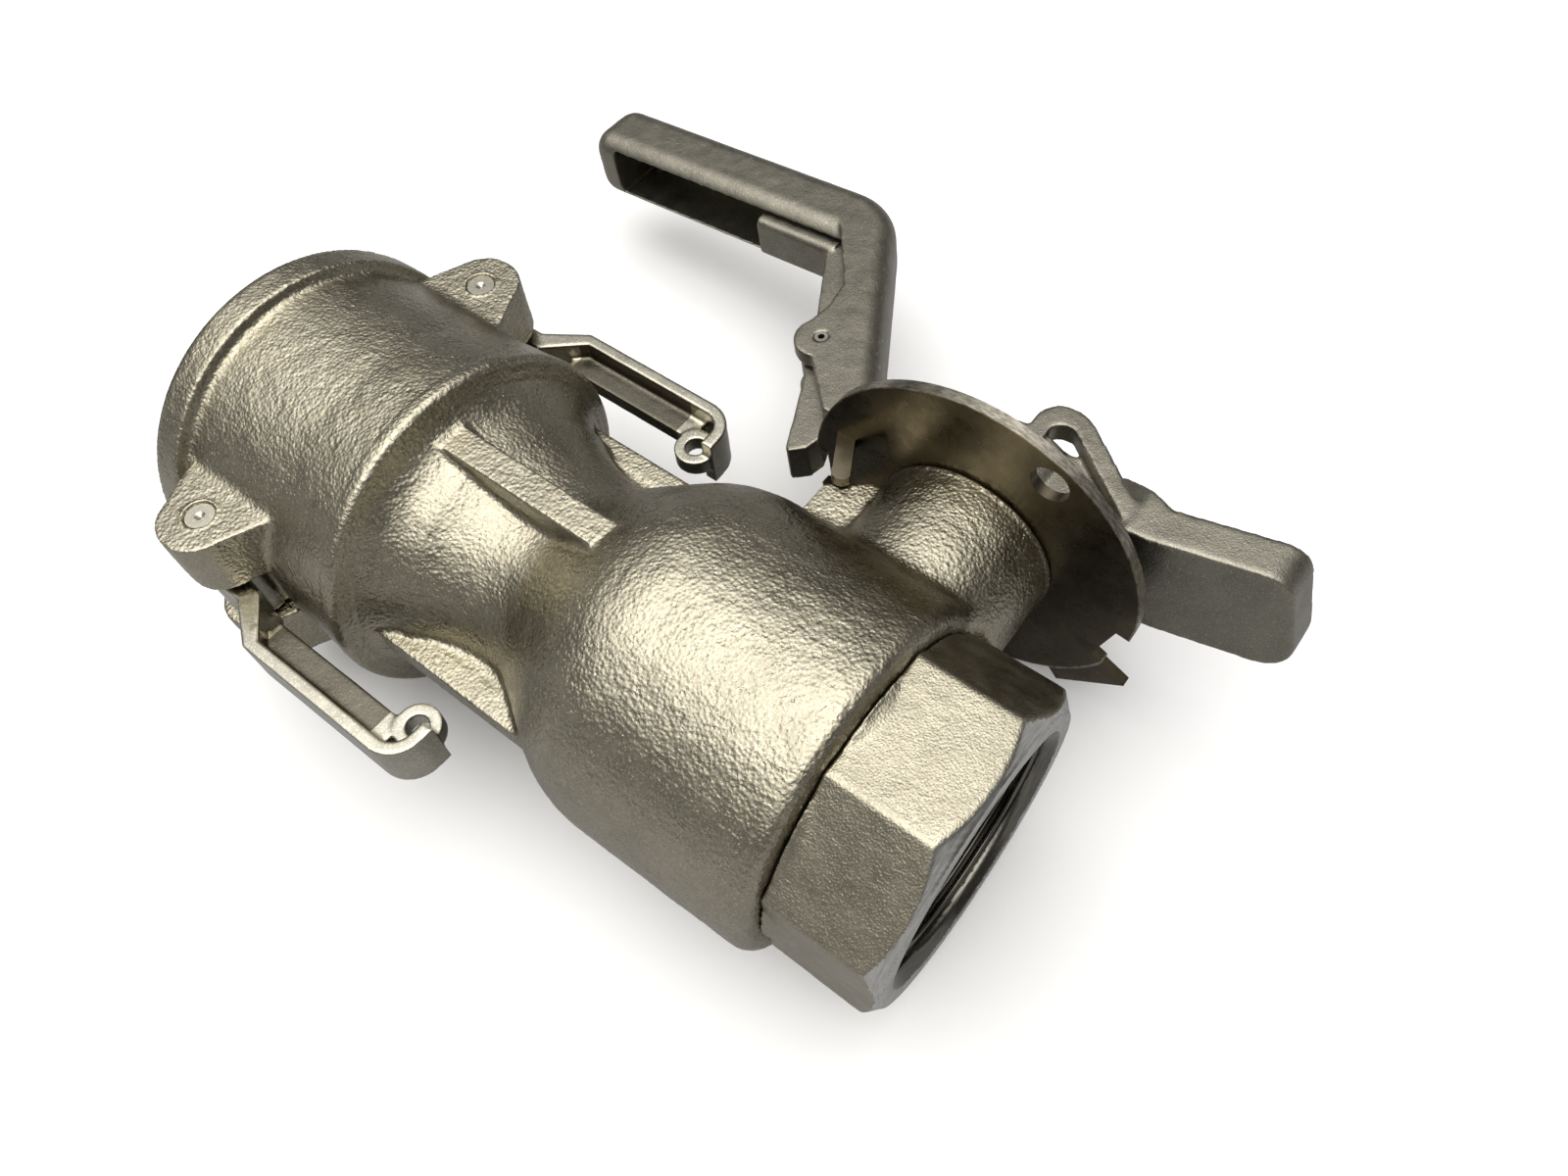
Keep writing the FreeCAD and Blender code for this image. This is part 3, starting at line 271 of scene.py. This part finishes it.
WARM = (0.40, 0.37, 0.285)
GREY = (0.27, 0.255, 0.21)
MATERIALS = {
    "body": cast_steel("body_cast", WARM, 0.27, 0.9 * MM, 0.16 * MM, pits=0.06 * MM, edge=0.5),
    "octagon": cast_steel("octagon_cast", WARM, 0.32, 0.5 * MM, 0.09 * MM, edge=0.6),
    "lever": cast_steel("lever_cast", GREY, 0.36, 0.45 * MM, 0.05 * MM, edge=0.6),
    "cam": cast_steel("cam_cast", (0.44, 0.42, 0.35), 0.2, 0.8 * MM, 0.01 * MM, edge=0.5),
    # painted shade: near-black metal for the cam arms' shaded inner sides
    "painted_shade": cast_steel("recess_cast", (0.13, 0.12, 0.095), 0.3, 0.6 * MM, 0.03 * MM),
    "plate": plate_steel(),
    "machined": turned_steel("machined", (0.68, 0.67, 0.63), 0.24, (3.0, 0.2, 0.2), 0.006 * MM),
    # painted shade: dark metal for the bore and its thread, glinting from low roughness
    "thread": turned_steel("bore_shade_thread", (0.2, 0.19, 0.165), 0.16, (3.0, 0.2, 0.2)),
    "ball": turned_steel("ground_steel", (0.75, 0.74, 0.7), 0.12, (2.0, 1.0, 1.0), 0.004 * MM),
    "spring": turned_steel("drawn_wire", (0.55, 0.53, 0.48), 0.25, (0.3, 0.3, 3.0)),
    "seat": soft_plastic("fluoropolymer", (0.82, 0.81, 0.77), 0.5, 0.6 * MM),
    "rubber": soft_plastic("black_rubber", (0.022, 0.021, 0.02), 0.6, 0.5 * MM),
}
NODE_MATERIAL = {
    "valve_body": "body", "end_connector": "octagon", "ball": "ball",
    "seat_rear": "seat", "seat_front": "seat", "body_seal": "seat",
    "coupler_gasket": "rubber", "stem": "ball", "thrust_washer": "seat",
    "stem_packing": "seat", "gland_follower": "ball", "disc_springs": "spring",
    "gland_nut": "machined", "locking_plate": "plate", "cam_pin_left": "cam",
    "cam_pin_right": "cam", "handle": "lever", "handle_pin": "spring",
    "latch_pin": "spring", "latch_spring": "spring", "latch": "lever",
    "cam_arm_left": "cam", "cam_arm_right": "cam",
}
for node, look in NODE_MATERIAL.items():
    mesh = frame["nodes"][node].data
    mesh.materials.clear()
    mesh.materials.append(MATERIALS[look])


# ------------------------------------------------------------------- cast pieces
def evaluated(obj):
    """The mesh of an object with its modifiers applied."""
    graph = bpy.context.evaluated_depsgraph_get()
    return bpy.data.meshes.new_from_object(obj.evaluated_get(graph))


def points_of(mesh):
    """Vertex positions as an array, one row each."""
    flat = np.empty(len(mesh.vertices) * 3)
    mesh.vertices.foreach_get("co", flat)
    return flat.reshape(-1, 3)


def weight_group(obj, name, weights):
    """A vertex group holding one weight per vertex, rounded to twentieths."""
    levels = 20
    group = obj.vertex_groups.new(name=name)
    steps = np.round(weights * levels).astype(int)
    for step in np.unique(steps):
        group.add(np.nonzero(steps == step)[0].tolist(), float(step) / levels, "REPLACE")


def clouds(name, size):
    """A smooth cloud texture whose puffs are about `size` metres across."""
    texture = bpy.data.textures.new(name, "CLOUDS")
    texture.noise_scale = size
    texture.noise_depth = 1
    return texture


def soften(piece, weights, rounds):
    """Smooth a piece's mesh, each vertex by its own weight."""
    weight_group(piece, "soft", weights)
    smooth = piece.modifiers.new("soften", "SMOOTH")
    smooth.factor = 0.5
    smooth.iterations = rounds
    smooth.vertex_group = "soft"
    piece.data = evaluated(piece)
    piece.modifiers.clear()
    piece.vertex_groups.clear()


def roughen(piece, weights, ripples):
    """Ripple a piece's skin inwards; each ripple is a size and a height in metres."""
    weight_group(piece, "skin", weights)
    for number, (size, height) in enumerate(ripples):
        ripple = piece.modifiers.new("ripple", "DISPLACE")
        ripple.texture = clouds("%s_%d" % (piece.name, number), size)
        ripple.texture_coords = "LOCAL"
        ripple.strength = height
        ripple.mid_level = 1.0
        ripple.vertex_group = "skin"
    piece.data = evaluated(piece)
    piece.modifiers.clear()
    piece.vertex_groups.clear()


def paint(piece, looks):
    """Give the faces whose middles pass each test that test's material."""
    count = len(piece.data.polygons)
    middles = np.empty(count * 3)
    piece.data.polygons.foreach_get("center", middles)
    middles = middles.reshape(-1, 3) - np.array(BALL)
    slots = np.zeros(count, dtype=int)
    for number, (look, chosen) in enumerate(looks, start=1):
        piece.data.materials.append(MATERIALS[look])
        slots[chosen(middles)] = number
    piece.data.polygons.foreach_set("material_index", slots)


def cast_piece(node, body, voxel, rounds, ripples, skin=None, creases=(), looks=()):
    """A cast stand-in for a CAD node: remeshed, its edges softened, its skin rippled.

    `skin` gives each vertex its share of softening from its place relative to the
    ball; each crease is such a function too, with the extra rounds it gets. `looks`
    are further materials, each with the test for the faces that have it.
    """
    source = frame["nodes"][node]
    piece = bpy.data.objects.new(node + "_cast", source.data.copy())
    bpy.context.scene.collection.objects.link(piece)
    remesh = piece.modifiers.new("remesh", "REMESH")
    remesh.mode = "VOXEL"
    remesh.voxel_size = voxel
    piece.data = evaluated(piece)
    piece.modifiers.clear()
    places = points_of(piece.data) - np.array(BALL)
    weights = skin(places) if skin else np.ones(len(places))
    for crease, extra in creases:
        soften(piece, crease(places) * weights, extra)
    soften(piece, weights, rounds)
    roughen(piece, weights, ripples)
    piece.data.polygons.foreach_set("use_smooth", [True] * len(piece.data.polygons))
    piece.data.materials.clear()
    piece.data.materials.append(MATERIALS[NODE_MATERIAL[node]])
    paint(piece, looks)
    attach(piece, body)
    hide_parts(node)


def body_skin(p):
    """Full on the cast skin, none in the machined socket, mouth, boss top and pin holes."""
    x, y, z = p.T
    radius = np.hypot(y, z)
    socket = (radius < SOCKET_RADIUS + 0.6 * MM) & (x < CUP_BACK_X)
    chamber = (radius < 34.2 * MM) & (np.abs(x) < 31 * MM)
    mouth = x < MOUTH_X + 1.0 * MM
    boss_top = y > 68 * MM
    pin_hole = np.hypot(x - PIN_X, np.abs(y) - PIN[1]) < 4.6 * MM
    stem_bore = (np.hypot(x, z) < 16 * MM) & (y > 33 * MM)
    rib = (radius > 34 * MM) & (radius < 40.5 * MM) & (x > -101 * MM) & (x < -52 * MM)
    rib &= np.minimum(np.abs(y), np.abs(z)) < 5 * MM
    shoulder = (radius > 43 * MM) & (np.abs(x - CUP_BACK_X) < 4 * MM)
    machined = socket | chamber | mouth | boss_top | pin_hole | stem_bore
    crisp = 0.35
    return np.where(rib | shoulder, crisp, np.where(machined, 0.0, 1.0))


def body_turned(p):
    """The socket's bore and the face round its mouth."""
    x, y, z = p.T
    socket = (np.hypot(y, z) < SOCKET_RADIUS) & (x < CUP_BACK_X)
    return socket | (x < MOUTH_X + 0.6 * MM)


def near(value, middle, half):
    """1 at the middle, falling smoothly to 0 at half the band's width."""
    share = np.clip(1 - np.abs(value - middle) / half, 0, 1)
    return share * share * (3 - 2 * share)


def boss_foot(p):
    """The crease where the stem boss grows out of the ball chamber."""
    x, y, z = p.T
    ring = near(np.hypot(x, z), 28 * MM, 9 * MM)
    return ring * near(y, 40 * MM, 13 * MM)


def ear_foot(p):
    """The crease where the ears grow out of the cup."""
    x, y, z = p.T
    along = near(x, PIN_X, 26 * MM)
    return along * near(np.hypot(y, z), 46 * MM, 5 * MM)


cast_piece("valve_body", "valve", voxel=0.6 * MM, rounds=9, skin=body_skin,
           ripples=((1.1 * MM, 0.16 * MM), (2.4 * MM, 0.1 * MM), (10.0 * MM, 0.35 * MM)),
           creases=((boss_foot, 160), (ear_foot, 60)),
           looks=(("machined", body_turned),))


def octagon_skin(p):
    """Soft on the cast flats, none on the turned end and in the bore."""
    x, y, z = p.T
    radius = np.hypot(y, z)
    return np.where((radius < 37.2 * MM) | (x < 19.5 * MM), 0.0, 1.0)


def octagon_turned(p):
    """The end face and the cone turned on the octagon's corners."""
    x, y, z = p.T
    cone = END_RADIUS + CONE_SLOPE * (END_X - x) - 0.3 * MM
    return (x > END_X - 0.5 * MM) | (np.hypot(y, z) > cone)


def octagon_bore(p):
    """The bore behind the end face, darkened with painted shade."""
    x, y, z = p.T
    return (np.hypot(y, z) < 33.7 * MM) & (x < END_X - 0.2 * MM)


cast_piece("end_connector", "valve", voxel=0.6 * MM, rounds=4, skin=octagon_skin,
           ripples=((0.9 * MM, 0.1 * MM), (6.0 * MM, 0.15 * MM)),
           looks=(("machined", octagon_turned), ("thread", octagon_bore)))


def handle_skin(p):
    """Full everywhere but in the stem bore."""
    x, y, z = p.T
    bore = (np.hypot(x, z) < 9.4 * MM) & (y < 93 * MM)
    return np.where(bore, 0.0, 1.0)


def paddle(p):
    """The paddle and the loop, more rounded than the rest of the lever."""
    x, y, z = p.T
    return np.clip((x - 20 * MM) / (14 * MM), 0, 1)


def arm_web(p):
    """The corner between a cam arm's strip and its web."""
    x, y, z = p.T
    along = near(x, -99 * MM, 42 * MM)
    return along * near(np.abs(y), 58 * MM, 3.5 * MM) * near(np.abs(z), 3.4 * MM, 3.0 * MM)


def arm_painted_shade(p):
    """The inner side of a cam arm's strip and its web, darkened with painted shade."""
    x, y, z = p.T
    along = (x > -122 * MM) & (x < -82 * MM)
    return along & (np.abs(y) < 59.4 * MM) & (np.abs(z) < 6.9 * MM)


cast_piece("handle", "lever", voxel=0.45 * MM, rounds=7, skin=handle_skin,
           ripples=((5.0 * MM, 0.12 * MM),), creases=((paddle, 22),))
cast_piece("latch", "latch", voxel=0.4 * MM, rounds=5, ripples=((2.0 * MM, 0.04 * MM),))
# each cam arm's inner side gets the painted-shade material
for side in ("left", "right"):
    cast_piece("cam_arm_" + side, side + "_cam", voxel=0.4 * MM, rounds=6,
               ripples=((5.0 * MM, 0.1 * MM),), creases=((arm_web, 60),),
               looks=(("painted_shade", arm_painted_shade),))


# ------------------------------------------------------------------- pipe thread
def tube_mesh(name, points):
    """A mesh over a row of rings of points, each ring closed on itself."""
    rings, corners = points.shape[:2]
    faces = []
    for first in range(0, (rings - 1) * corners, corners):
        for c in range(corners):
            d = (c + 1) % corners
            faces.append((first + c, first + d, first + corners + d, first + corners + c))
    mesh = bpy.data.meshes.new(name)
    mesh.from_pydata(points.reshape(-1, 3).tolist(), [], faces)
    mesh.polygons.foreach_set("use_smooth", [True] * len(faces))
    return mesh


def add_thread():
    """The helical ridge of the pipe thread inside the end connector."""
    threads_per_inch = 11.5
    pitch = 25.4 / threads_per_inch * MM
    height = 1.5 * MM
    sink = 0.15 * MM
    root = THREAD["dims"]["r_mm"] * MM + sink
    length = THREAD["dims"]["length_mm"] * MM
    start = THREAD["pos_m"][0] - length / 2
    turns = length / pitch - 0.6
    per_turn = 96
    runout = 0.3 * per_turn
    count = int(turns * per_turn)
    section = [(-0.48, 0.0), (-0.1, 1.0), (0.1, 1.0), (0.48, 0.0)]
    rings = []
    for i in range(count + 1):
        angle = 2 * math.pi * i / per_turn
        fade = min(1.0, i / runout, (count - i) / runout)
        x = start + pitch * (0.5 + i / per_turn)
        ring = []
        for along, up in section:
            radius = root - up * height * fade
            ring.append((x + along * pitch, radius * math.cos(angle), radius * math.sin(angle)))
        rings.append(ring)
    mesh = tube_mesh("pipe_thread", np.array(rings))
    thread = bpy.data.objects.new("pipe_thread", mesh)
    bpy.context.scene.collection.objects.link(thread)
    # dark with painted shade, like the bore round it
    mesh.materials.append(MATERIALS["thread"])
    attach(thread, "valve")


add_thread()


# ------------------------------------------------------------------------ studio
def add_studio():
    """A pale floor under the valve and a soft world round it."""
    low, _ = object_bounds()
    half = 3.0
    gap = 0.2 * MM
    floor_mesh = bpy.data.meshes.new("floor")
    corners = [(-half, -half, 0), (half, -half, 0), (half, half, 0), (-half, half, 0)]
    floor_mesh.from_pydata(corners, [], [(0, 1, 2, 3)])
    floor = bpy.data.objects.new("floor", floor_mesh)
    floor.location.z = low.z - gap
    bpy.context.scene.collection.objects.link(floor)
    floor_mesh.materials.append(floor_card())
    bpy.context.scene.world = soft_box_world()


def floor_card():
    """White card: near white to the eye, darker where the metal mirrors it."""
    nodes = Nodes("floor_card")
    shade = nodes.ramp(nodes.noise(0.4, 2.0), 0.3, 0.7)
    pale = nodes.mix(shade, (0.90, 0.90, 0.91), (0.94, 0.94, 0.94))
    glossy = nodes.tree.nodes.new("ShaderNodeLightPath").outputs["Is Glossy Ray"]
    nodes.set("Base Color", nodes.mix(glossy, pale, (0.34, 0.34, 0.35)))
    nodes.set("Roughness", 0.9)
    nodes.set("Specular IOR Level", 0.1)
    return nodes.material


def soft_box_world():
    """A room lit from overhead, dim at the horizon; the eye sees a pale backdrop."""
    overhead = Vector((-0.05, -0.13, 0.99)).normalized()
    levels = ((0.0, 0.035), (0.3, 0.055), (0.55, 0.15), (0.75, 0.44), (0.92, 1.08))
    backdrop_grey = (0.32, 0.32, 0.325, 1.0)
    strength = 2.9
    world = bpy.data.worlds.new("studio")
    world.use_nodes = True
    tree = world.node_tree
    background = tree.nodes["Background"]
    place = tree.nodes.new("ShaderNodeTexCoord").outputs["Generated"]
    dot = tree.nodes.new("ShaderNodeVectorMath")
    dot.operation = "DOT_PRODUCT"
    dot.inputs[1].default_value = overhead
    tree.links.new(place, dot.inputs[0])
    ramp = tree.nodes.new("ShaderNodeValToRGB")
    tree.links.new(dot.outputs["Value"], ramp.inputs["Fac"])
    camera_ray = tree.nodes.new("ShaderNodeLightPath").outputs["Is Camera Ray"]
    backdrop = tree.nodes.new("ShaderNodeMix")
    backdrop.data_type = "RGBA"
    tree.links.new(camera_ray, backdrop.inputs["Factor"])
    tree.links.new(ramp.outputs["Color"], backdrop.inputs[6])
    backdrop.inputs[7].default_value = backdrop_grey
    tree.links.new(backdrop.outputs[2], background.inputs["Color"])
    ramp.color_ramp.interpolation = "EASE"
    ramp.color_ramp.elements.remove(ramp.color_ramp.elements[1])
    ramp.color_ramp.elements[0].position = levels[0][0]
    for number, (place_on_ramp, level) in enumerate(levels):
        stop = ramp.color_ramp.elements[0]
        if number:
            stop = ramp.color_ramp.elements.new(place_on_ramp)
        stop.color = (level, level * 0.985, level * 0.96, 1.0)
    background.inputs["Strength"].default_value = strength
    return world


def add_camera():
    """A wide camera close above the valve, looking down at its threaded end."""
    camera = bpy.data.cameras.new("camera")
    camera.sensor_width = 36.0
    camera.lens = 26.0
    camera.clip_start = 0.01
    obj = bpy.data.objects.new("camera", camera)
    bpy.context.scene.collection.objects.link(obj)
    right = Vector((0.792, 0.608, -0.053))
    up = Vector((-0.493, 0.690, 0.530))
    back = Vector((0.359, -0.394, 0.846))
    place = BALL + Vector((72.8, -80.9, 238.8)) * MM
    turn = Matrix((right, up, back)).transposed()
    obj.matrix_world = Matrix.Translation(place) @ turn.to_4x4()
    bpy.context.scene.camera = obj


add_studio()
add_camera()
bpy.context.scene.view_settings.view_transform = "Standard"
